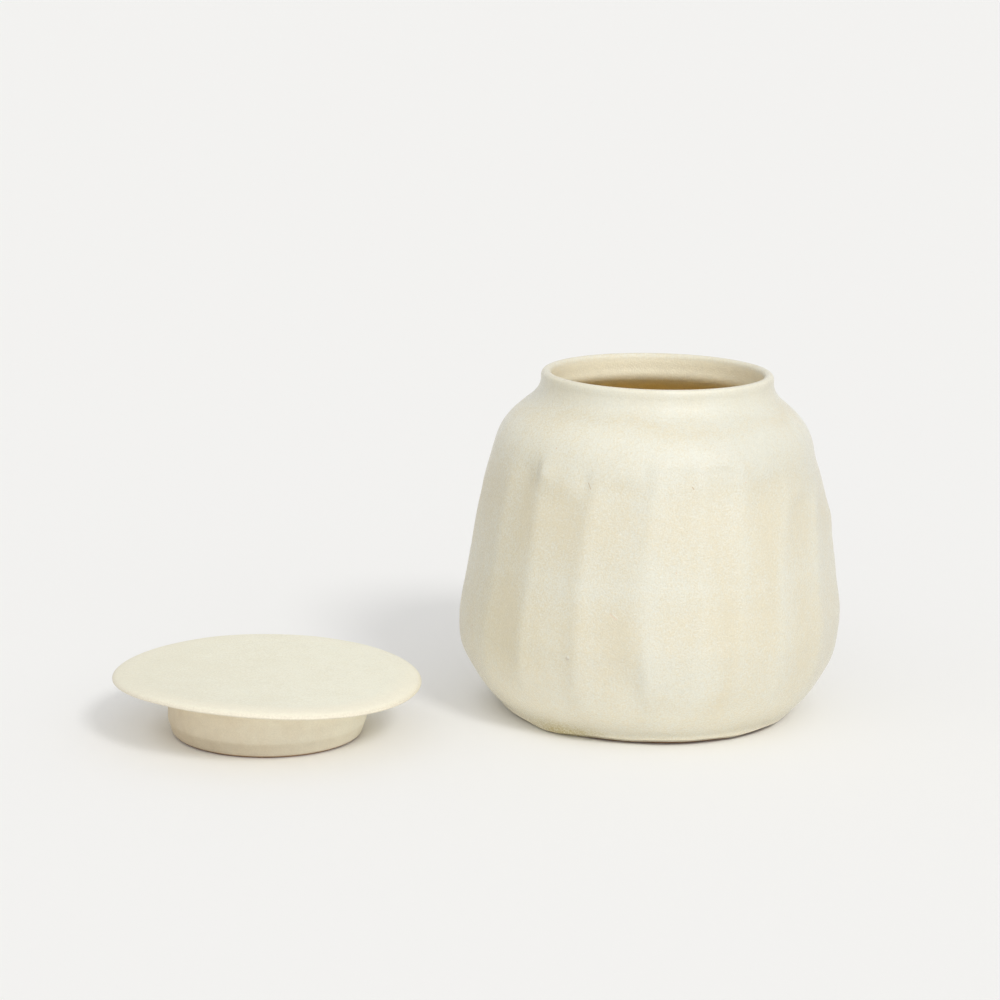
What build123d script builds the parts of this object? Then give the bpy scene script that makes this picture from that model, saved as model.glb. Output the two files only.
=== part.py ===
from build123d import *
import math
import os

# A thrown stoneware jar with hand-cut vertical flutes, and its loose lid standing beside it.
# Millimetres, +Z up. The origin is the centre of the jar's foot, on the surface that it stands on.
# The front is -Y.

# Jar
jar_height = 130.8
belly_radius = 72.8
belly_height = 36.0
base_edge_radius = 55.5
base_edge_lift = 1.6
foot_radius = 48.5
rim_radius = 44.0
rim_thickness = 3.8
neck_length = 3.8
bore_length = 9.8
wall = 5.6
floor_thickness = 6.5
floor_radius = 44.0

# Flutes: scoops of one round tool, drawn down the wall from the shoulder
flute_depth = 1.08
flute_tool_radius = 320.0
flute_run_in = 5.0
flute_fade_lift = 1.2
first_ridge_angle = 184.5

# Lid
lid_clearance = 3.4
lid_overhang = 13.1
lid_height = 22.7
plate_edge_thickness = 2.6
plate_root_thickness = 5.0
plate_dish = 0.4
flange_wall = 5.0
flange_bevel_height = 5.0
flange_bevel_inset = 1.6
flange_edge_round = 0.8

# Where the lid stands: its bearing seen from the jar's axis, and the room between the two outlines
lid_bearing = 197.2
lid_gap = 20.0

# Outline of the jar, chosen by hand as shares. Below the belly each point is a share of the gain in
# radius and of the rise from the base edge to the belly. Above it each point is a share of the drop
# in radius and of the rise from the belly to the neck.
lower_shares = ((0.29, 0.155), (0.61, 0.36), (0.905, 0.65))
side_shares = ((0.115, 0.308), (0.27, 0.571), (0.445, 0.758), (0.632, 0.857), (0.90, 0.934))

# One entry a flute, going round to the right from the first ridge: the width as a share of an even
# spacing, the depth as a share of the full depth, and the top as a share of the rise to the neck.
flute_width_shares = (
    1.21, 1.09, 0.98, 1.08, 0.99, 0.80, 0.82, 1.12, 1.23, 0.86,
    0.92, 1.00, 0.97, 1.03, 0.97, 1.03, 0.97, 0.97, 0.94, 1.00,
)
flute_depth_shares = (
    1.35, 1.25, 1.00, 1.15, 0.85, 0.60, 0.60, 1.00, 1.20, 0.75,
    0.85, 1.00, 0.95, 1.05, 0.95, 1.05, 0.95, 0.95, 0.90, 1.00,
)
flute_top_shares = (
    0.59, 0.76, 0.68, 0.74, 0.78, 0.77, 0.74, 0.64, 0.63, 0.65,
    0.74, 0.76, 0.71, 0.69, 0.75, 0.77, 0.70, 0.73, 0.70, 0.58,
)
belly_depth_share = 0.9
fade_depth_share = 0.5

mouth_radius = rim_radius - rim_thickness
lip_round = rim_thickness / 2
lip_spring = jar_height - lip_round
neck_height = lip_spring - neck_length / 2
bore_foot = jar_height - bore_length
upright = (0, 1)
inward = (-1, 0)


def lower_point(radius_share, height_share):
    radius = base_edge_radius + radius_share * (belly_radius - base_edge_radius)
    height = base_edge_lift + height_share * (belly_height - base_edge_lift)
    return radius, height


def side_point(radius_share, height_share):
    radius = belly_radius - radius_share * (belly_radius - rim_radius)
    height = belly_height + height_share * (neck_height - belly_height)
    return radius, height


def side_radius(height_share):
    """The wall's radius at a share of the rise to the neck, straight between the side's points."""
    points = ((0, 0), *side_shares)
    for (low, start), (high, end) in zip(points, points[1:]):
        if start <= height_share <= end:
            share = low + (high - low) * (height_share - start) / (end - start)
            return side_point(share, height_share)[0]


def inset(point, depth):
    return point[0] - depth, point[1]


def turned(edges):
    """A full turn of a closed outline, drawn as radius and height, about the upright axis."""
    return revolve(Plane.XZ * make_face(edges), Axis.Z)


def jar_wall():
    """The thrown wall, foot to lip, before the flutes are cut."""
    base_edge = (base_edge_radius, base_edge_lift)
    belly = (belly_radius, belly_height)
    neck = (rim_radius, neck_height)
    lower = [lower_point(*share) for share in lower_shares]
    side = [side_point(*share) for share in side_shares]
    inner_side = [inset(point, wall) for point in side[:-1]]
    inner_belly = inset(belly, wall)
    bore_end = (mouth_radius, bore_foot)
    floor_edge = (floor_radius, floor_thickness)
    outline = [
        Line((0, 0), (foot_radius, 0)),
        Line((foot_radius, 0), base_edge),
        Spline([base_edge, *lower, belly], tangents=[lower_lead(base_edge, lower[0]), upright]),
        Spline([belly, *side, neck], tangents=[upright, upright]),
        Line(neck, (rim_radius, lip_spring)),
        ThreePointArc((rim_radius, lip_spring), (mouth_radius + lip_round, jar_height), (mouth_radius, lip_spring)),
        Line((mouth_radius, lip_spring), bore_end),
        Spline([inner_belly, *inner_side, bore_end]),
        Spline([inner_belly, floor_edge], tangents=[(0, -1), inward]),
        Line(floor_edge, (0, floor_thickness)),
        Line((0, floor_thickness), (0, 0)),
    ]
    return turned(outline)


def lower_lead(start, toward):
    """The direction in which the lower curve sets off."""
    return toward[0] - start[0], toward[1] - start[1]


def flute_cutter(depth, top_share):
    """One scoop at angle zero: the side's own line set in by the depth, turned about an axis outside the jar.
    A slanting plane ends it at the shoulder, where the tool was pushed in."""
    axis_radius = belly_radius - depth + flute_tool_radius
    side = [inset(side_point(*share), depth) for share in side_shares[:-1]]
    belly = (belly_radius - belly_depth_share * depth, belly_height)
    fading = inset(lower_point(*lower_shares[-1]), fade_depth_share * depth)
    low = inset(lower_point(*lower_shares[-2]), -flute_fade_lift)
    high = side[-1]
    section = make_face([
        Spline([low, fading, belly, *side]),
        Line(high, (axis_radius, high[1])),
        Line((axis_radius, high[1]), (axis_radius, low[1])),
        Line((axis_radius, low[1]), low),
    ])
    scoop = revolve(Plane.XZ * section, Axis((axis_radius, 0, 0), (0, 0, 1)))
    start = (side_radius(top_share), 0, side_point(0, top_share)[1])
    return split(scoop, Plane(start, z_dir=(-flute_run_in, 0, depth)), keep=Keep.BOTTOM)


def fluted_jar():
    jar = jar_wall()
    even_turn = 360 / sum(flute_width_shares)
    angle = first_ridge_angle
    for width, depth, top in zip(flute_width_shares, flute_depth_shares, flute_top_shares):
        turn = even_turn * width
        jar -= Rot(0, 0, angle + turn / 2) * flute_cutter(flute_depth * depth, top)
        angle += turn
    return jar


def lid():
    """The lid standing on its flange at the origin: a thin plate, and a hollow flange that drops into the mouth."""
    plate_radius = rim_radius + lid_overhang
    flange_radius = mouth_radius - lid_clearance
    flange_bore = flange_radius - flange_wall
    edge_round = plate_edge_thickness / 2
    edge_radius = plate_radius - edge_round
    edge_height = lid_height - edge_round
    under_height = lid_height - plate_root_thickness
    bevel_foot = flange_radius - flange_bevel_inset
    plate = turned([
        Line((0, under_height), (flange_radius, under_height)),
        Line((flange_radius, under_height), (edge_radius, edge_height - edge_round)),
        ThreePointArc(
            (edge_radius, edge_height - edge_round), (plate_radius, edge_height), (edge_radius, lid_height)
        ),
        TangentArc((0, lid_height - plate_dish), (edge_radius, lid_height), tangent=(1, 0)),
        Line((0, lid_height - plate_dish), (0, under_height)),
    ])
    flange = turned([
        Line((flange_bore, under_height), (flange_bore, 0)),
        Line((flange_bore, 0), (bevel_foot, 0)),
        Line((bevel_foot, 0), (flange_radius, flange_bevel_height)),
        Line((flange_radius, flange_bevel_height), (flange_radius, under_height)),
        Line((flange_radius, under_height), (flange_bore, under_height)),
    ])
    foot_edges = flange.edges().group_by(Axis.Z)[0]
    return plate + fillet(foot_edges, flange_edge_round)


def lid_place():
    reach = belly_radius + rim_radius + lid_overhang + lid_gap
    bearing = math.radians(lid_bearing)
    return Pos(reach * math.cos(bearing), reach * math.sin(bearing), 0)


os.makedirs("parts", exist_ok=True)
export_step(fluted_jar(), "parts/jar_body.step")
export_step(lid_place() * lid(), "parts/lid.step")
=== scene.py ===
import math
from bisect import bisect_right

import bmesh
import bpy
from mathutils import Matrix, Vector, geometry, noise


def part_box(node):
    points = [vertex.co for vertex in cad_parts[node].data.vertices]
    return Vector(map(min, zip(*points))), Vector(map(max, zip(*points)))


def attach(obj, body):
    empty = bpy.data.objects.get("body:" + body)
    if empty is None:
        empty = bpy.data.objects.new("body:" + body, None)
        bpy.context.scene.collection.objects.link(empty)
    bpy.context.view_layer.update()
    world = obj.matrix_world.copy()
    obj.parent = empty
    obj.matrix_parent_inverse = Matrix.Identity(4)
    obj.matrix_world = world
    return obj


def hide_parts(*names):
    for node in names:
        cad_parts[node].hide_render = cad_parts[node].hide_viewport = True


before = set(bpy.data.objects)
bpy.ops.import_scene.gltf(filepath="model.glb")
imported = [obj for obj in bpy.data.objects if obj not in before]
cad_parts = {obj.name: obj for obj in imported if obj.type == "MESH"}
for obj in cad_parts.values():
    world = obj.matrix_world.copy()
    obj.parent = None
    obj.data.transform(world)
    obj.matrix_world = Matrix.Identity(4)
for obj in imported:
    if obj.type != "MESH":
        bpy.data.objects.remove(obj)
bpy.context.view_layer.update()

mm = 0.001  # shapes are written in millimetres, the scene is in metres
mergeReach = 0.00001
scene = bpy.context.scene
scene.view_settings.view_transform = "Standard"


# camera
cameraView = {
    "place": (-0.0580, -1.0456, 0.3076),
    "pitch": 12.30,  # degrees down from level
    "roll": 0.94,
    "lens": 100.8,
    "sensor": 36,
    "clip": (0.01, 100),
}


def setCamera(view):
    data = bpy.data.cameras.new("photoCamera")
    data.lens = view["lens"]
    data.sensor_width = view["sensor"]
    data.clip_start, data.clip_end = view["clip"]
    camera = bpy.data.objects.new("photoCamera", data)
    tilt = Matrix.Rotation(math.radians(90 - view["pitch"]), 4, "X")
    roll = Matrix.Rotation(math.radians(view["roll"]), 4, "Z")
    camera.matrix_world = Matrix.Translation(view["place"]) @ (tilt @ roll)
    scene.collection.objects.link(camera)
    scene.camera = camera


setCamera(cameraView)
print("camera set")


# small helpers for shares
def smoothStep(low, high, value):
    share = min(max((value - low) / (high - low), 0), 1)
    return share * share * (3 - 2 * share)


def bell(distance, width):
    return math.exp(-(distance / width) ** 2)


# a share that comes in between two values
def fadeIn(row, value):
    share, start, full = row
    return share * smoothStep(start, full, value)


# a share that is full at one value and dies away on both sides of it
def humpAt(row, value):
    share, middle, reach = row
    return share * bell(value - middle, reach)


# degrees from one direction to another, the shorter way round
def turnFrom(start, angle):
    return (angle - start + 180) % 360 - 180


# how near a direction is to the middle of one side
def sideAt(row, angle):
    middle, spread = row
    return bell(turnFrom(middle, angle), spread)


def ringAt(angle):
    turn = math.radians(angle)
    return Vector((math.cos(turn), math.sin(turn), 0))


# slow unevenness round a pot: how much, how many waves, where in the noise, how it changes upwards
def driftAt(row, ring, height):
    amount, waves, start, climb = row
    return amount * noise.noise(ring * waves + Vector(start) + Vector((0, 0, height * climb)))


def blotchAt(place, coarse, fine, fineShare):
    return noise.noise(place * coarse) + fineShare * noise.noise(place * fine)


# small helpers for meshes

# a smooth line through all the points of an outline, with a row about every gap, and each row's zone
def smoothOutline(runs):
    knots = []
    for zone, gap, points in runs:
        knots += [(Vector((radius * mm, 0, height * mm)), zone, gap) for radius, height in points]
    places = [knot[0] for knot in knots]
    line = [(places[0], knots[0][1])]
    for i, (start, end) in enumerate(zip(places, places[1:])):
        before = places[max(i - 1, 0)]
        after = places[min(i + 2, len(places) - 1)]
        zone, gap = knots[i + 1][1:]
        reach = (end - start).length / 3
        leave = start + (end - before).normalized() * reach
        arrive = end - (after - start).normalized() * reach
        rows = max(2, round((end - start).length / (gap * mm)) + 1)
        curve = geometry.interpolate_bezier(start, leave, arrive, end, rows)
        line += [(place, zone) for place in curve[1:]]
    return line


# spins an outline round the upright axis, and keeps each row's zone on its vertices
def spunShape(runs, steps):
    bm = bmesh.new()
    zoneLayer = bm.verts.layers.float.new("zone")
    last = None
    for place, zone in smoothOutline(runs):
        vertex = bm.verts.new(place)
        vertex[zoneLayer] = zone
        if last:
            bm.edges.new((last, vertex))
        last = vertex
    bmesh.ops.spin(bm, geom=bm.verts[:] + bm.edges[:], cent=(0, 0, 0), axis=(0, 0, 1),
                   angle=math.tau, steps=steps, use_merge=True)
    bmesh.ops.remove_doubles(bm, verts=bm.verts[:], dist=mergeReach)
    bmesh.ops.recalc_face_normals(bm, faces=bm.faces[:])
    return bm, zoneLayer


def finishPiece(bm, name, material, body, node):
    mesh = bpy.data.meshes.new(name)
    for vertex in bm.verts:
        vertex.co.z = max(vertex.co.z, 0)  # nothing lies below the ground
    for face in bm.faces:
        face.smooth = True
    bm.to_mesh(mesh)
    bm.free()
    mesh.materials.append(material)
    piece = bpy.data.objects.new(name, mesh)
    scene.collection.objects.link(piece)
    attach(piece, body)
    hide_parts(node)
    print(name, "made:", len(mesh.polygons), "faces")


# small helpers for materials
def putNode(tree, kind, inputs=None, **settings):
    node = tree.nodes.new(kind)
    for key, value in settings.items():
        setattr(node, key, value)
    for key, value in (inputs or {}).items():
        if isinstance(value, bpy.types.NodeSocket):
            tree.links.new(value, node.inputs[key])
        else:
            node.inputs[key].default_value = value
    return node


def mathOf(tree, operation, first, second, clamp=False):
    inputs = {0: first, 1: second}
    return putNode(tree, "ShaderNodeMath", inputs, operation=operation, use_clamp=clamp).outputs[0]


# a value with a share of another one added
def addShare(tree, value, other, share):
    return mathOf(tree, "ADD", mathOf(tree, "MULTIPLY", other, share), value)


def rangeOf(tree, value, low, high):
    inputs = {"Value": value, "From Min": low, "From Max": high}
    return putNode(tree, "ShaderNodeMapRange", inputs, interpolation_type="SMOOTHSTEP").outputs["Result"]


def farOf(tree, place, spot):
    inputs = {0: place, 1: spot}
    return putNode(tree, "ShaderNodeVectorMath", inputs, operation="DISTANCE").outputs["Value"]


def mixOf(tree, factor, first, second):
    mix = putNode(tree, "ShaderNodeMix", {0: factor, 6: first, 7: second}, data_type="RGBA")
    return mix.outputs[2]


def noiseOf(tree, place, scale, detail, rough, distortion=0.0):
    inputs = {"Vector": place, "Scale": scale, "Detail": detail, "Roughness": rough, "Distortion": distortion}
    return putNode(tree, "ShaderNodeTexNoise", inputs).outputs["Fac"]


# noise as a swing about nought
def swingOf(tree, place, *settings):
    return mathOf(tree, "SUBTRACT", noiseOf(tree, place, *settings), 0.5)


# glaze: a matt crystalline cream, a fine pale net round beige spots, calmer where it runs thin
jarLook = {
    "pale": (0.704, 0.690, 0.588, 1),
    "beige": (0.666, 0.608, 0.456, 1),
    "neck": (0.950, 0.890, 0.685, 1),  # inside the lip, a pale glaze made lighter still as painted light
    "deep": (0.930, 0.727, 0.295, 1),  # inside the belly: painted warm bounce light
    "edge": (0.875, 0.810, 0.625, 1),  # along the foot: partly the glaze's edge, partly a painted highlight; also painted bounce light low on the left
    "pool": (0.470, 0.395, 0.190, 1),  # where the glaze ran and gathered
    "clay": (0.560, 0.350, 0.190, 1),
    "paleClay": (0.660, 0.460, 0.290, 1),
    "footShade": (0.230, 0.118, 0.050, 1),  # dark brown painted as contact shade in the gap under the foot's edge
    "lift": 0.27,  # how much painted light and shade lighten or darken the glaze
    "mottle": 0.10,
    "grain": 0.16,
    "roughness": 0.46,
    "skin": 0.60,  # share of a glossier skin on the glaze
    "run": (1, 1, 0.4),  # patches are drawn out down the wall
    "netScale": 1550,
    "netContrast": 2.5,
}
lidLook = {
    **jarLook,
    "pale": (0.875, 0.857, 0.715, 1),
    "beige": (0.800, 0.765, 0.612, 1),
    "neck": (0.690, 0.585, 0.420, 1),  # round the flange and under the plate, partly its glaze and partly painted shade
    "deep": (0.760, 0.650, 0.440, 1),  # inside the flange
    "edge": (0.895, 0.840, 0.678, 1),  # near the plate's rim: partly its paler glaze, partly painted light, most in front
    "pool": (0.770, 0.712, 0.575, 1),  # on the rim's upright side, darker there as painted shade
    "skin": 0,
    "run": (1, 1, 1),
    "netScale": 1500,
    "netContrast": 3.2,
}

# the glaze's texture, the same on both pieces
glazeGrain = {
    "net": (2, 0.55, 0.3),  # noise detail, roughness and distortion
    "clump": (360, 2, 0.5),  # noise scale, detail and roughness
    "patch": (75, 4, 0.6),
    "grain": (2100, 1, 0.5),
    "grog": (900, 3, 0.65),
    "grogRange": (0.35, 0.7),
    "clumpContrast": 0.9,
    "calming": -0.7,  # what the net loses where the glaze is calm
    "speckle": 1.3,  # how much the net breaks up a pool
    "speckRim": (1.4, 0.5),  # where a speck starts and is full, as shares of its size
    "beigeRoughness": 0.08,  # added where the glaze is beige
    "bareRoughness": 0.3,
    "reliefShares": (0.4, 0.8),  # of the clumps and of the net
    "bump": {"Strength": 0.8, "Distance": 0.0002},
    "skinBump": {"Strength": 1.0, "Distance": 0.0006},
    "skinRoughness": 0.20,
}
glazeLayers = ("beige", "calm", "neck", "deep", "edge", "pool", "bare", "footShade", "lift")


def makeGlaze(name, look, specks):
    material = bpy.data.materials.new(name)
    material.use_nodes = True
    tree = material.node_tree
    shader = tree.nodes["Principled BSDF"]
    place = putNode(tree, "ShaderNodeTexCoord").outputs["Object"]
    layer = {}
    for key in glazeLayers:
        layer[key] = putNode(tree, "ShaderNodeAttribute", attribute_name=key).outputs["Fac"]

    # net, clumps and patches, from fine to coarse
    net = swingOf(tree, place, look["netScale"], *glazeGrain["net"])
    clump = swingOf(tree, place, *glazeGrain["clump"])
    runs = putNode(tree, "ShaderNodeMapping", {"Vector": place, "Scale": look["run"]}).outputs[0]
    patch = swingOf(tree, runs, *glazeGrain["patch"])
    fine = mathOf(tree, "MULTIPLY", net, look["netContrast"])
    fine = addShare(tree, fine, clump, glazeGrain["clumpContrast"])
    fine = mathOf(tree, "MULTIPLY", fine, addShare(tree, 1.0, layer["calm"], glazeGrain["calming"]))
    amount = mathOf(tree, "ADD", mathOf(tree, "ADD", layer["beige"], patch), fine, clamp=True)
    color = mixOf(tree, amount, look["pale"], look["beige"])
    # the edge tint: partly the glaze's own paler tone, partly painted light along the jar's foot, low on its
    # left and at the front of the lid's rim
    color = mixOf(tree, layer["edge"], color, look["edge"])
    speckle = addShare(tree, 1.0, fine, glazeGrain["speckle"])
    # run glaze gathered in pools; also painted warm shade on the jar's left flank and painted shade on the
    # lid rim's upright side
    color = mixOf(tree, mathOf(tree, "MULTIPLY", layer["pool"], speckle, clamp=True), color, look["pool"])
    # inside the jar: painted light under the lip and painted warm bounce light in the belly; on the lid the
    # brown tint is partly painted shade under the plate
    for key in ("neck", "deep"):
        color = mixOf(tree, layer[key], color, look[key])

    # a fine lighter and darker grain, then the painted light and shade
    value = addShare(tree, 1.0, swingOf(tree, place, *glazeGrain["grain"]), look["grain"])
    value = addShare(tree, value, clump, look["mottle"])
    value = addShare(tree, value, layer["lift"], look["lift"])
    color = putNode(tree, "ShaderNodeVectorMath", {0: color, "Scale": value}, operation="SCALE").outputs[0]

    # iron specks and pits, and dots of painted shade
    start, full = glazeGrain["speckRim"]
    for spot, size, tint in specks:
        near = rangeOf(tree, farOf(tree, place, spot), size * start, size * full)
        color = mixOf(tree, near, color, tint)

    # bare clay under the foot, then dark brown painted as contact shade at its edge
    grog = rangeOf(tree, noiseOf(tree, place, *glazeGrain["grog"]), *glazeGrain["grogRange"])
    color = mixOf(tree, layer["bare"], color, mixOf(tree, grog, look["clay"], look["paleClay"]))
    color = mixOf(tree, layer["footShade"], color, look["footShade"])
    tree.links.new(color, shader.inputs["Base Color"])

    # gloss and relief
    rough = addShare(tree, look["roughness"], amount, glazeGrain["beigeRoughness"])
    rough = addShare(tree, rough, layer["bare"], glazeGrain["bareRoughness"])
    tree.links.new(rough, shader.inputs["Roughness"])
    clumpShare, netShare = glazeGrain["reliefShares"]
    relief = addShare(tree, mathOf(tree, "MULTIPLY", clump, clumpShare), net, netShare)
    bump = putNode(tree, "ShaderNodeBump", {**glazeGrain["bump"], "Height": relief})
    tree.links.new(bump.outputs["Normal"], shader.inputs["Normal"])
    if look["skin"]:
        glazed = mathOf(tree, "SUBTRACT", 1.0, layer["bare"])
        tree.links.new(mathOf(tree, "MULTIPLY", glazed, look["skin"]), shader.inputs["Coat Weight"])
        shader.inputs["Coat Roughness"].default_value = glazeGrain["skinRoughness"]
        skinBump = putNode(tree, "ShaderNodeBump", {**glazeGrain["skinBump"], "Height": relief})
        tree.links.new(skinBump.outputs["Normal"], shader.inputs["Coat Normal"])
    return material


# jar
wallZone, insideZone, footZone = 0, 1, 2
jarShape = {
    "steps": 390,
    "outline": (  # zone, gap between rows, points as radius and height
        (footZone, 6.0, ((0, 0.7), (30, 0.6), (43, 0.15), (48.5, 0))),
        (footZone, 0.6, ((52.2, 0.1), (53.8, 0.9))),
        (wallZone, 0.35, ((55.4, 2.0), (56.8, 2.45), (57.3, 3.0), (57.6, 3.6), (58.1, 4.3))),
        (wallZone, 1.2, ((61.1, 7.2), (66.1, 13.9), (71.15, 23.9), (72.8, 36), (72.3, 44))),
        (wallZone, 1.8, ((71.15, 52), (69.49, 64), (67.5, 76), (65.3, 86))),
        (wallZone, 0.7, ((62.4, 97), (59.98, 105), (57.6, 110))),
        (wallZone, 0.9, ((54.6, 114), (50.7, 117.7), (47.15, 120.8), (44.95, 123.8), (44.1, 126.6))),
        (wallZone, 0.4, ((44.0, 128.9), (43.45, 130.25), (42.1, 130.8))),
        (insideZone, 0.4, ((40.75, 130.25), (40.2, 128.9))),
        (insideZone, 0.9, ((40.2, 125), (40.25, 121.8), (41.6, 119.8))),
        (insideZone, 4.0, ((45.5, 117), (49, 114), (54.4, 105), (59.4, 88), (63.9, 64), (67.2, 36),
                           (66, 24), (62.2, 14.6), (57, 10), (50, 7.3), (44, 6.5))),
        (insideZone, 2.4, ((38, 6.5), (0, 6.5))),
    ),
    "lean": (0.8, 131),  # how far the rim stands to the right of the foot, and its height
    "rimDip": (0.2, 112, 128),  # how much lower the rim lies at the back, and the heights it comes in over
    "wobble": (0.35, 1.6, (0, 0, 0), 0.02),
    "wobbleHeights": (127, 112),
    "footWave": (0.7, 3.1, (4, 2, 7), 0),  # the base edge stands in and out
    "footWaveHeights": (16, 1),
    "footWaveRadii": (46, 53),
    "footLift": (0.5, 4.3, (1, 5, 2), 0),  # and up and down
    "footLiftHeights": (7, 1.4),
    "footLiftRadii": (51, 54),
    "footRest": 1.85,  # how far the base edge comes down where it rests
    "footRestSide": (228, 15),  # at this angle, with this spread
    "ribLine": (0.10, 64, 0.9),  # a faint line left by the thrower's rib: depth, height, reach
    "wallRings": (0.05, 1.3, (128, 120)),  # throwing rings inside: depth, waves, heights they come in over
    "floorRings": (0.22, 0.75, (54, 40), (9, 7)),  # and on the floor, with the radii and the heights
    "markReach": 2.5,  # a mark is looked at within so many of its reaches
    "tear": (225, 100, 7, 11),  # angle, height and reaches of the part that needs more vertices
    "tearRadius": 56,
    "tearCuts": 2,
}

flutes = {
    "levels": (100, 58, 22),
    # each ridge's angle round the jar at the levels of the shoulder, the belly and the foot
    "ridges": (
        (184.0, 184.5, 184.5), (208.5, 210.5, 208.5), (225.0, 227.0, 226.0), (247.2, 245.0, 244.6),
        (268.0, 265.5, 268.0), (283.0, 282.4, 281.5), (299.4, 295.4, 292.0), (321.5, 310.1, 308.1),
        (342.3, 330.3, 328.0), (356.0, 352.5, 351.5), (370.0, 368.0, 367.0), (385.5, 384.5, 384.5),
        (403.0, 402.5, 403.5), (419.0, 420.0, 419.0), (438.5, 438.5, 437.0), (455.0, 456.0, 457.0),
        (475.5, 474.5, 474.0), (491.0, 492.0, 493.0), (509.0, 509.5, 509.0), (525.5, 526.5, 527.0),
    ),
    # one entry a flute: 1 is a flat cut and more is hollow
    # then its top, how softly it starts, how beige it is
    "hollowness": (0.45, 1.15, 1.2, 1.1, 0.6, 0.6, 0.65, 0.95, 0.7, 0.7,
                   1.1, 1.2, 1.0, 1.1, 1.0, 1.2, 1.0, 1.1, 1.0, 1.1),
    "tops": (98, 105, 97.5, 103, 106.6, 106.4, 103, 94, 93, 95,
             103, 105, 101, 99, 104, 106, 100, 102, 100, 89),
    "runIns": (7, 9, 9, 8, 3.5, 3.5, 6, 7, 7, 7, 6, 5, 6, 7, 5, 5, 7, 6, 6, 7),
    "beiges": (0.15, 0.25, 0.12, 0.08, 0.05, 0.08, 0.22, 0.25, 0.1, 0.1,
               0.1, 0.15, 0.1, 0.1, 0.2, 0.1, 0.1, 0.15, 0.1, 0.1),
    "flat": 0.82,  # the share of a flute's half width before it rounds over to the ridge
    "arch": 2.0,  # how much lower a flute starts beside its ridges
    "dig": 0.35,  # the tool bites deeper where it is pushed in
    "digReach": 14,
    "ridgeWidth": 0.22,  # as a share of the half width
    "fade": (8, 29),
}

# small knobs, tears and dents: angle, height, reach to the left, to the right, up and down, push outwards
jarMarks = (
    (226.4, 100.2, 2.2, 5.0, 4.4, 1.25),
    (222.4, 101.0, 2.4, 0.9, 3.8, -0.45),
    (218.0, 99.0, 6.0, 4.0, 6.5, -1.00),
    (243.5, 98.0, 5.0, 2.0, 5.5, -0.60),
    (264.5, 101.5, 5.0, 2.0, 6.0, -0.45),
    (299.2, 103.2, 1.8, 1.8, 2.6, 0.35),
    (242.5, 32.0, 7.0, 4.0, 15.0, -0.50),
    (262.8, 27.0, 8.0, 4.0, 10.0, -0.90),
    (261.5, 50.0, 6.0, 3.0, 13.0, 0.45),
    (285.0, 2.0, 24.0, 24.0, 5.0, 0.90),
    (243.0, 2.0, 9.0, 9.0, 5.0, -0.80),
    (353.0, 98.5, 13.0, 13.0, 5.0, -0.80),
    (353.0, 77.5, 10.0, 10.0, 5.5, 0.85),
    (352.0, 62.0, 13.0, 13.0, 9.0, 0.35),
    (352.0, 44.5, 13.0, 13.0, 8.0, 0.50),
    (181.0, 110.0, 18.0, 18.0, 7.0, 0.35),
    (181.0, 62.0, 13.0, 13.0, 15.0, -0.50),
    (181.0, 27.0, 18.0, 18.0, 9.0, 0.60),
)

# how the glaze lies on the jar, each layer as shares
# a side is an angle and a spread, a row is a share and where it starts and is full, or its middle and reach
jarGlazing = {
    "leftSide": (208, 32),
    "rightSide": (300, 38),
    # painted light and shade, as shares of the look's lift
    "lip": (0.42, 129.3, 130.4),
    "neck": (0.12, 118, 126),
    "neckFoot": (0.26, 116.5, 5),
    "neckFootRight": 0.6,  # how much less of that at the right
    "shoulder": (1, 111, 9),
    "shoulderShares": (0.22, 0.2, -0.32),  # all round, at the left, at the right
    "fluteTops": (-0.18, 101, 10),
    "knob": (0.12, 110, 95),  # the flute beside the knob
    "knobSide": (236, 14),
    "low": (0.45, 30, 11),
    "foot": (-0.25, 11, 4),
    "lowLeft": (0.5, 46, 24),
    "lowMost": 0.9,
    "insideLit": (0.18, 119, 124),
    "insideLitSide": (45, 30),
    # beige and calm
    "bandDrift": (5, 2.4, (0, 3, 0), 0.03),
    "broad": (0.22, 2.2, (7, 1, 0), 0.022),
    "ridgeBeige": -0.03,
    "ridgeCalm": 0.25,
    "neckCalm": (0.9, 120, 126),
    # foot line, pools, bare clay and painted contact shade
    # the foot line is partly the glaze's edge and partly a painted highlight
    "footLine": (1, 2.5, 0.42),
    # painted bounce light, low on the shaded left
    "leftEdge": (0.22, 75, 20),
    # painted warm shade on the left flank
    "leftOlive": (0.13, 18, 40),
    "pool": (0.85, 2.5, 3.2),
    "poolSide": (234, 14),
    "bareRadii": (55.0, 54.0),
    "footShade": (0.9, 50.5, 52),
    "footShadeEnd": (55.8, 54.8),
    # inside: painted light under the lip and painted warm bounce light in the belly
    "insideBeige": 0.6,
    "insideNeck": (0.9, 130.6, 128),
    "deep": 0.92,
    "deepMottle": 0.16,
    "deepBlotch": (0.11, 0.35, 0.5),
    "deepHeights": (121, 116),
}

# how beige the glaze lies at heights up the wall, 0.5 is even
glazeBands = (
    (0, 0.60), (10, 0.55), (22, 0.44), (34, 0.50), (46, 0.60), (55, 0.50), (63, 0.34), (72, 0.44),
    (84, 0.58), (96, 0.50), (104, 0.22), (110, 0.06), (114, 0.14), (118, 0.48), (122, 0.15), (131, 0.35),
)

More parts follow.
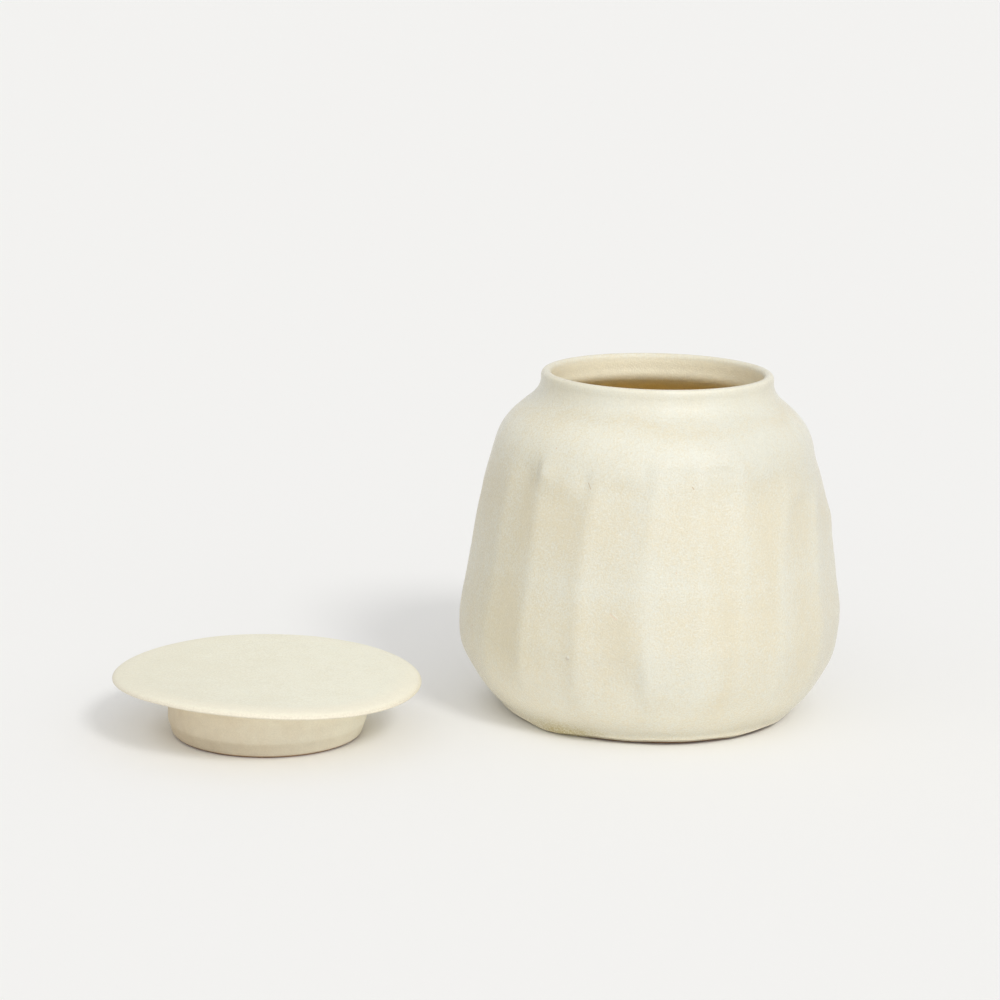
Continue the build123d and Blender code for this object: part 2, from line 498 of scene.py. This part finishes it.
# streaks and pale spots in the glaze: angle, height, reach across, up and down, more or less beige
glazeStreaks = (
    (291.7, 45, 3.5, 17, 0.45),
    (289.2, 17, 4.0, 8, 0.30),
    (306.8, 67, 3.5, 18, 0.45),
    (221.6, 42, 4.5, 16, 0.45),
    (222.5, 82, 5.0, 12, 0.40),
    (240.2, 77, 9.0, 10, 0.30),
    (277.5, 80, 16.0, 10, 0.15),
    (259.0, 42, 5.0, 12, 0.08),
    (280.7, 30, 10.0, 10, -0.35),
    (267.5, 36, 4.0, 11, -0.35),
    (313.5, 47, 7.0, 14, -0.25),
    (250.0, 60, 22.0, 5, -0.20),
)


def streaksAt(angle, height, radius):
    amount = 0
    for streakAngle, streakHeight, reach, tall, share in glazeStreaks:
        across = math.radians(turnFrom(streakAngle, angle)) * radius
        amount += share * bell(across, reach) * bell(height - streakHeight, tall)
    return amount


def bandAt(height):
    for (low, first), (high, second) in zip(glazeBands, glazeBands[1:]):
        if height <= high:
            return first + (second - first) * smoothStep(low, high, height)
    return glazeBands[-1][1]


def ridgeAngle(row, height):
    shoulder, belly, foot = row
    high, middle, low = flutes["levels"]
    if height > middle:
        return belly + (shoulder - belly) * ((height - middle) / (high - middle)) ** 2
    return belly + (foot - belly) * ((middle - height) / (middle - low)) ** 2


# a flute across its half width: hollow in the middle, rounding over to nothing at the ridge
def fluteHollow(side, flat):
    if side < flat:
        return 1 - side * side / flat
    over = (side - flat) / (1 - flat)
    return 1 - flat - (1 - flat) * (over + math.sin(math.pi * over) / math.pi)


# how deep a flute lies at a place on the wall, how beige it is there, and how near its ridge
def fluteAt(angle, height, radius, ridges):
    start = ridges[0]
    angle = start + (angle - start) % 360
    i = bisect_right(ridges, angle) - 1
    ends = ridges + [start + 360]
    turn = ends[i + 1] - ends[i]
    side = abs(2 * (angle - ends[i]) / turn - 1)
    top = flutes["tops"][i] - flutes["arch"] * side * side
    cut = smoothStep(0, flutes["runIns"][i], top - height) * smoothStep(*flutes["fade"], height)
    if cut == 0:
        return 0, 0, 0
    hollow = fluteHollow(side, flutes["flat"])
    dig = 1 + flutes["dig"] * math.exp((height - top) / flutes["digReach"])
    full = flutes["hollowness"][i] * flutes["flat"] * math.radians(turn / 2) ** 2 * radius / 2
    ridge = bell(1 - side, flutes["ridgeWidth"])
    return full * hollow * dig * cut, flutes["beiges"][i] * hollow * cut, ridge * cut


ridgeRows = {}


# how far the wall stands out or in from the plain turned shape, with its share of beige and of ridge
def wallAt(angle, height, radius):
    key = round(height, 2)
    if key not in ridgeRows:
        ridgeRows[key] = [ridgeAngle(row, height) for row in flutes["ridges"]]
    depth, beige, ridge = fluteAt(angle, height, radius, ridgeRows[key])
    ring = ringAt(angle)
    push = driftAt(jarShape["wobble"], ring, height) * smoothStep(*jarShape["wobbleHeights"], height)
    edge = smoothStep(*jarShape["footWaveHeights"], height) * smoothStep(*jarShape["footWaveRadii"], radius)
    push += driftAt(jarShape["footWave"], ring, height) * edge
    push -= humpAt(jarShape["ribLine"], height)
    for markAngle, markHeight, left, right, tall, amount in jarMarks:
        if abs(height - markHeight) < jarShape["markReach"] * tall:
            across = math.radians(turnFrom(markAngle, angle)) * radius
            push += amount * bell(across, left if across < 0 else right) * bell(height - markHeight, tall)
    return push - depth, beige, ridge


# more vertices round the sharp tear
def refineTear(bm):
    angle, height, across, tall = jarShape["tear"]
    edges = []
    for edge in bm.edges:
        middle = (edge.verts[0].co + edge.verts[1].co) / 2 / mm
        turn = math.degrees(math.atan2(middle.y, middle.x)) % 360
        outside = middle.xy.length > jarShape["tearRadius"]
        if outside and abs(turn - angle) < across and abs(middle.z - height) < tall:
            edges.append(edge)
    bmesh.ops.subdivide_edges(bm, edges=edges, cuts=jarShape["tearCuts"], use_grid_fill=True)


# how much painted light or shade lightens or darkens the glaze at a place on the wall
def paintedLightAt(angle, height):
    left = sideAt(jarGlazing["leftSide"], angle)
    right = sideAt(jarGlazing["rightSide"], angle)
    low = fadeIn(jarGlazing["low"], height) + fadeIn(jarGlazing["foot"], height)
    low = min(low + left * fadeIn(jarGlazing["lowLeft"], height), jarGlazing["lowMost"])
    low = max(low, sideAt(jarGlazing["knobSide"], angle) * fadeIn(jarGlazing["knob"], height))
    allRound, atLeft, atRight = jarGlazing["shoulderShares"]
    high = (allRound + atLeft * left + atRight * right) * humpAt(jarGlazing["shoulder"], height)
    high += right * humpAt(jarGlazing["fluteTops"], height)
    high += (1 - jarGlazing["neckFootRight"] * right) * humpAt(jarGlazing["neckFoot"], height)
    high += (1 - right) * fadeIn(jarGlazing["neck"], height)
    return low + high + fadeIn(jarGlazing["lip"], height)


# the layers of the glaze at a place on the wall
def wallGlaze(angle, height, radius, beige, ridge):
    ring = ringAt(angle)
    left = sideAt(jarGlazing["leftSide"], angle)
    band = bandAt(height + driftAt(jarGlazing["bandDrift"], ring, height))
    broad = driftAt(jarGlazing["broad"], ring, height)
    streaks = streaksAt(angle, height, radius)
    pooled = sideAt(jarGlazing["poolSide"], angle) * humpAt(jarGlazing["pool"], height)
    return {
        "beige": band + beige + broad + streaks + jarGlazing["ridgeBeige"] * ridge,
        "calm": max(jarGlazing["ridgeCalm"] * ridge, fadeIn(jarGlazing["neckCalm"], height)),
        "lift": paintedLightAt(angle, height),
        "edge": max(humpAt(jarGlazing["footLine"], height), left * fadeIn(jarGlazing["leftEdge"], height)),
        "pool": max(left * fadeIn(jarGlazing["leftOlive"], height), pooled),
    }


# how far a place outside is pushed out and up, and its glaze
def outsideAt(angle, height, radius):
    push, beige, ridge = wallAt(angle, height, radius)
    lift = driftAt(jarShape["footLift"], ringAt(angle), height)
    lift -= jarShape["footRest"] * sideAt(jarShape["footRestSide"], angle)
    lift *= smoothStep(*jarShape["footLiftHeights"], height) * smoothStep(*jarShape["footLiftRadii"], radius)
    return push, max(lift, -height), wallGlaze(angle, height, radius, beige, ridge)


# the same for a place inside
def insideAt(angle, radius, place):
    height = place.z
    turn = math.radians(angle)
    depth, waves, heights = jarShape["wallRings"]
    push = depth * math.sin(height * waves + turn) * smoothStep(*heights, height)
    depth, waves, radii, heights = jarShape["floorRings"]
    rise = depth * math.sin(radius * waves + turn) * smoothStep(*radii, radius) * smoothStep(*heights, height)
    lit = sideAt(jarGlazing["insideLitSide"], angle) * fadeIn(jarGlazing["insideLit"], height)
    mottle = jarGlazing["deepMottle"] * blotchAt(place, *jarGlazing["deepBlotch"])
    glaze = {
        "beige": jarGlazing["insideBeige"],
        "neck": fadeIn(jarGlazing["insideNeck"], height),
        "deep": (jarGlazing["deep"] + mottle) * smoothStep(*jarGlazing["deepHeights"], height),
        "lift": fadeIn(jarGlazing["lip"], height) + lit,
    }
    return push, rise, glaze


def leanAt(height):
    reach, top = jarShape["lean"]
    return reach * (height / top) ** 2


def shapeJar():
    bm, zone = spunShape(jarShape["outline"], jarShape["steps"])
    refineTear(bm)
    layers = {key: bm.verts.layers.float.new(key) for key in glazeLayers}
    for vertex in bm.verts:
        place = vertex.co / mm
        radius = math.hypot(place.x, place.y)
        height = place.z
        angle = math.degrees(math.atan2(place.y, place.x)) % 360
        ring = ringAt(angle)
        if vertex[zone] == insideZone:
            push, rise, glaze = insideAt(angle, radius, place)
        else:
            push, rise, glaze = outsideAt(angle, height, radius)
        if vertex[zone] == footZone:
            glaze["bare"] = smoothStep(*jarGlazing["bareRadii"], radius)
            glaze["footShade"] = fadeIn(jarGlazing["footShade"], radius) * smoothStep(*jarGlazing["footShadeEnd"], radius)
        for key, amount in glaze.items():
            vertex[layers[key]] = amount
        rise -= fadeIn(jarShape["rimDip"], height) * (1 + ring.y) / 2
        vertex.co += (ring * push + Vector((0, 0, rise))) * mm
        vertex.co.x += leanAt(height) * mm
    bm.verts.layers.float.remove(zone)
    return bm


# specks, scratches, a pit and painted shade, as lines of dots: first and last angle and height, dots, dot
# size, tint
iron = (0.500, 0.385, 0.245, 1)
rust = (0.640, 0.460, 0.320, 1)
flesh = (0.700, 0.560, 0.430, 1)
cream = (0.765, 0.745, 0.640, 1)
# painted shade, along the crease beside the knob and round the pit
shade = (0.590, 0.530, 0.420, 1)
jarSpecks = (
    (222.5, 102.9, 222.9, 100.0, 9, 0.15, shade),
    (244.5, 98.5, 245.6, 96.6, 9, 0.17, iron),
    (279.9, 98.7, 280.4, 98.0, 4, 0.20, iron),
    (229.1, 108.9, 229.1, 108.9, 1, 0.24, rust),
    (255.4, 52.8, 257.4, 51.1, 10, 0.20, flesh),
    (256.3, 53.0, 257.7, 51.7, 7, 0.18, cream),
    (243.1, 35.2, 243.1, 35.2, 1, 0.80, shade),
    (243.4, 35.8, 243.4, 35.8, 1, 0.62, cream),
    (274.7, 68.7, 274.7, 68.7, 1, 0.20, rust),
    (299.5, 99.4, 299.5, 99.4, 1, 0.20, rust),
    (200.5, 36.7, 200.5, 36.7, 1, 0.30, rust),
)


# the plain wall's radius at a height, from the outline's rows
def wallRadius(height):
    rows = [place / mm for place, zone in smoothOutline(jarShape["outline"]) if zone == wallZone]
    for low, high in zip(rows, rows[1:]):
        if low.z <= height <= high.z:
            return low.x + (high.x - low.x) * (height - low.z) / (high.z - low.z)


def speckPlaces(rows):
    places = []
    for firstAngle, firstHeight, lastAngle, lastHeight, dots, size, tint in rows:
        for dot in range(dots):
            share = dot / max(dots - 1, 1)
            angle = firstAngle + (lastAngle - firstAngle) * share
            height = firstHeight + (lastHeight - firstHeight) * share
            radius = wallRadius(height)
            radius += wallAt(angle, height, radius)[0]
            turn = math.radians(angle)
            spot = Vector((radius * math.cos(turn) + leanAt(height), radius * math.sin(turn), height)) * mm
            places.append((spot, size * mm, tint))
    return places


jarGlaze = makeGlaze("jarGlaze", jarLook, speckPlaces(jarSpecks))
finishPiece(shapeJar(), "glazedJar", jarGlaze, "jar", "jar_body")


# lid
plateZone, flangeZone, hollowZone = 0, 1, 2
lidLow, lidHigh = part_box("lid")
lidShape = {
    "center": ((lidLow.x + lidHigh.x) / 2, (lidLow.y + lidHigh.y) / 2),
    "steps": 360,
    "outline": (
        (plateZone, 2.0, ((0, 22.3), (16, 22.25), (32, 22.4), (44, 22.55), (50, 22.6))),
        (plateZone, 0.4, ((53.6, 22.45), (55.8, 22.05), (57.0, 21.3), (57.1, 20.7), (56.5, 20.3))),
        (plateZone, 1.5, ((50, 19.5), (44, 18.6), (39.5, 17.8), (37.6, 17.0), (36.9, 15.6))),
        (flangeZone, 1.0, ((36.8, 11), (36.85, 6.3))),
        (flangeZone, 0.4, ((36.75, 5.6), (36.3, 4.4), (35.3, 1.3), (34.6, 0.5), (33.7, 0))),
        (hollowZone, 0.6, ((32.8, 0), (32.1, 0.3), (31.8, 1.1))),
        (hollowZone, 1.5, ((31.8, 8), (31.6, 15.4), (30.6, 17.1), (28.5, 17.7))),
        (hollowZone, 3.0, ((24, 17.7), (0, 17.7))),
    ),
    "plateRadius": 57,
    "flangeRadius": 37,
    "slope": (-0.021, -0.0095),  # the plate lies a little lower to the right and at the back
    "warp": ((2, -0.64, 0.66), (3, 0.27, 0.08)),  # waves round the rim, and their two shares
    "bentHeights": (4, 16),  # the slope and the warp come in between these
    "topFace": 20,  # the plate's upper face lies above this
    "unevenness": (0.12, 3, 0.06),  # depth, place in the noise, grain
    "dip": (0.10, 44, 2.5),  # a shallow ring inside the rim: depth, radius, reach
    "rings": (0.03, 0.95, (52, 46)),  # throwing rings: depth, waves, radii they come in over
}

# how the glaze lies on the lid, written as for the jar
lidGlazing = {
    "beige": (0.5, -0.5),  # in the middle, and its change to the right, where the plate is paler as painted light
    "rimCalm": (0.5, 52, 57),
    "edge": (0.2, 0.6),  # all round, and more in front as painted light
    "edgeTurn": 0.5,
    "edgeRadii": (44, 54),
    "rimHeights": (22.2, 21.2),
    "plateNeck": (0.55, 19.2, 17.0),
    "flangeEdge": 0.6,
    "flangeBlotch": (0.16, 0.45, 0.6),
    "flangeNeck": (0.5, -0.45, 0.14),  # in the middle, its change to the right, and in blotches; the browner left is painted shade
    "footNeck": (0.2, 7, 4.4),
    # painted shade low on the flange and at its foot, painted light high up and at its right
    "lowDark": (0.12, 10, 6),
    "footDark": (0.5, 7.0, 4.4),
    "sideDark": (0.7, 15, 34),  # how much less of that at both sides
    "highLight": (0.32, 9, 15),
    "rightLight": (0.35, 10, 36),
    "bareHeights": (1.2, 0.3),
    # dark brown painted as contact shade at the flange's foot
    "footShade": (0.8, 1.0, 0.5),
    "hollowBare": (2.5, 0.8),
    "hollowDeep": (2, 6),
}


# how far a place on the plate is lifted
def lidLift(place, radius, angle, onTop):
    lift = lidShape["slope"][0] * place.x + lidShape["slope"][1] * place.y
    for waves, even, odd in lidShape["warp"]:
        wave = even * math.cos(waves * angle) + odd * math.sin(waves * angle)
        lift += wave * (radius / lidShape["plateRadius"]) ** 2
    if onTop:
        depth, level, grain = lidShape["unevenness"]
        lift += depth * noise.noise(Vector((place.x, place.y, level)) * grain)
        lift -= humpAt(lidShape["dip"], radius)
        depth, waves, radii = lidShape["rings"]
        lift += depth * math.sin(radius * waves + angle) * smoothStep(*radii, radius)
    return lift * smoothStep(*lidShape["bentHeights"], place.z)


def plateGlaze(place, radius, angle):
    allRound, inFront = lidGlazing["edge"]
    front = max(-math.sin(angle - lidGlazing["edgeTurn"]), 0)
    return {
        "calm": fadeIn(lidGlazing["rimCalm"], radius),
        "edge": (allRound + inFront * front) * smoothStep(*lidGlazing["edgeRadii"], radius),
        # painted shade on the rim's upright side
        "pool": smoothStep(*lidGlazing["rimHeights"], place.z),
        "neck": fadeIn(lidGlazing["plateNeck"], place.z),
    }


def flangeGlaze(place):
    # painted shade low on the flange, painted light high on it and towards its right
    dark = fadeIn(lidGlazing["lowDark"], place.z) + fadeIn(lidGlazing["footDark"], place.z)
    dark *= 1 - fadeIn(lidGlazing["sideDark"], abs(place.x))
    light = fadeIn(lidGlazing["highLight"], place.z) + fadeIn(lidGlazing["rightLight"], place.x)
    middle, toRight, blotches = lidGlazing["flangeNeck"]
    neck = middle + toRight * place.x / lidShape["flangeRadius"]
    neck += blotches * blotchAt(place, *lidGlazing["flangeBlotch"])
    return {
        "edge": lidGlazing["flangeEdge"],
        "lift": light - dark,
        "neck": neck + fadeIn(lidGlazing["footNeck"], place.z),
        "bare": smoothStep(*lidGlazing["bareHeights"], place.z),
        "footShade": fadeIn(lidGlazing["footShade"], place.z),
    }


def hollowGlaze(place):
    return {
        "bare": smoothStep(*lidGlazing["hollowBare"], place.z),
        "deep": smoothStep(*lidGlazing["hollowDeep"], place.z),
    }


def shapeLid():
    bm, zone = spunShape(lidShape["outline"], lidShape["steps"])
    layers = {key: bm.verts.layers.float.new(key) for key in glazeLayers}
    middle, toRight = lidGlazing["beige"]
    for vertex in bm.verts:
        place = vertex.co / mm
        radius = math.hypot(place.x, place.y)
        angle = math.atan2(place.y, place.x)
        if vertex[zone] == plateZone:
            glaze = plateGlaze(place, radius, angle)
        elif vertex[zone] == flangeZone:
            glaze = flangeGlaze(place)
        else:
            glaze = hollowGlaze(place)
        glaze["beige"] = middle + toRight * place.x / lidShape["plateRadius"]
        for key, amount in glaze.items():
            vertex[layers[key]] = amount
        onTop = vertex[zone] == plateZone and place.z > lidShape["topFace"]
        vertex.co.z += lidLift(place, radius, angle, onTop) * mm
    bmesh.ops.translate(bm, verts=bm.verts[:], vec=(*lidShape["center"], 0))
    bm.verts.layers.float.remove(zone)
    return bm


lidGlaze = makeGlaze("lidGlaze", lidLook, ())
finishPiece(shapeLid(), "glazedLid", lidGlaze, "lid", "lid")


# floor
floorLook = {
    "size": 15,
    "color": (0.900, 0.894, 0.878, 1),
    "roughness": 0.9,
    "gloss": 0.1,
    "glow": (0.950, 0.944, 0.926, 1),
    "glowShare": 0.17,
    # the glow fades out round each piece's foot, leaving painted contact shade there: centre, radius where it
    # is gone, radius where it is full
    "rings": (((0, 0, 0), 0.056, 0.072), ((*lidShape["center"], 0), 0.035, 0.049)),
}


# one for rays that show the surroundings, directly or in a reflection
def seenRays(tree):
    rays = putNode(tree, "ShaderNodeLightPath").outputs
    seen = mathOf(tree, "MAXIMUM", rays["Is Camera Ray"], rays["Is Glossy Ray"])
    return mathOf(tree, "MAXIMUM", seen, rays["Is Transmission Ray"])


def makeFloor(look):
    bm = bmesh.new()
    bmesh.ops.create_grid(bm, x_segments=2, y_segments=2, size=look["size"])
    mesh = bpy.data.meshes.new("paleFloor")
    bm.to_mesh(mesh)
    bm.free()
    material = bpy.data.materials.new("paleFloor")
    material.use_nodes = True
    tree = material.node_tree
    matt = tree.nodes["Principled BSDF"]
    matt.inputs["Base Color"].default_value = look["color"]
    matt.inputs["Roughness"].default_value = look["roughness"]
    matt.inputs["Specular IOR Level"].default_value = look["gloss"]
    # the camera sees a little of the floor's own colour, so that shadows stay light
    own = putNode(tree, "ShaderNodeEmission", {"Color": look["glow"], "Strength": 1.0})
    share = mathOf(tree, "MULTIPLY", seenRays(tree), look["glowShare"])
    place = putNode(tree, "ShaderNodeTexCoord").outputs["Object"]
    for center, gone, full in look["rings"]:
        share = mathOf(tree, "MULTIPLY", share, rangeOf(tree, farOf(tree, place, center), gone, full))
    both = putNode(tree, "ShaderNodeMixShader", {0: share, 1: matt.outputs[0], 2: own.outputs[0]})
    tree.links.new(both.outputs[0], tree.nodes["Material Output"].inputs["Surface"])
    mesh.materials.append(material)
    floor = bpy.data.objects.new("paleFloor", mesh)
    scene.collection.objects.link(floor)


makeFloor(floorLook)
print("floor laid")


# light
studioLight = {
    # where each light stands in degrees round and up, how strong it is, and how wide
    "keyLight": {"bearing": 302, "height": 40, "strength": 1.08, "angle": 14},
    "frontLight": {"bearing": 290, "height": 18, "strength": 0.66, "angle": 80},
    "fillLight": {"bearing": 240, "height": 30, "strength": 0.20, "angle": 80},
}
studioSky = {
    "color": (1, 1, 1, 1),
    "strength": 0.655,
    "backdrop": (0.893, 0.887, 0.871, 1),
}


def addSun(name, settings):
    data = bpy.data.lights.new(name, "SUN")
    data.energy = settings["strength"]
    data.angle = math.radians(settings["angle"])
    sun = bpy.data.objects.new(name, data)
    turn = math.radians(settings["bearing"])
    rise = math.radians(settings["height"])
    toward = Vector((math.cos(rise) * math.cos(turn), math.cos(rise) * math.sin(turn), math.sin(rise)))
    sun.rotation_euler = toward.to_track_quat("Z", "Y").to_euler()
    scene.collection.objects.link(sun)


def setSky(look):
    world = bpy.data.worlds.new("studioSky")
    world.use_nodes = True
    scene.world = world
    tree = world.node_tree
    sky = tree.nodes["Background"]
    sky.inputs["Color"].default_value = look["color"]
    sky.inputs["Strength"].default_value = look["strength"]
    seen = putNode(tree, "ShaderNodeBackground", {"Color": look["backdrop"], "Strength": 1.0})
    both = putNode(tree, "ShaderNodeMixShader", {0: seenRays(tree), 1: sky.outputs[0], 2: seen.outputs[0]})
    tree.links.new(both.outputs[0], tree.nodes["World Output"].inputs["Surface"])


for name, settings in studioLight.items():
    addSun(name, settings)
setSky(studioSky)
print("light set")
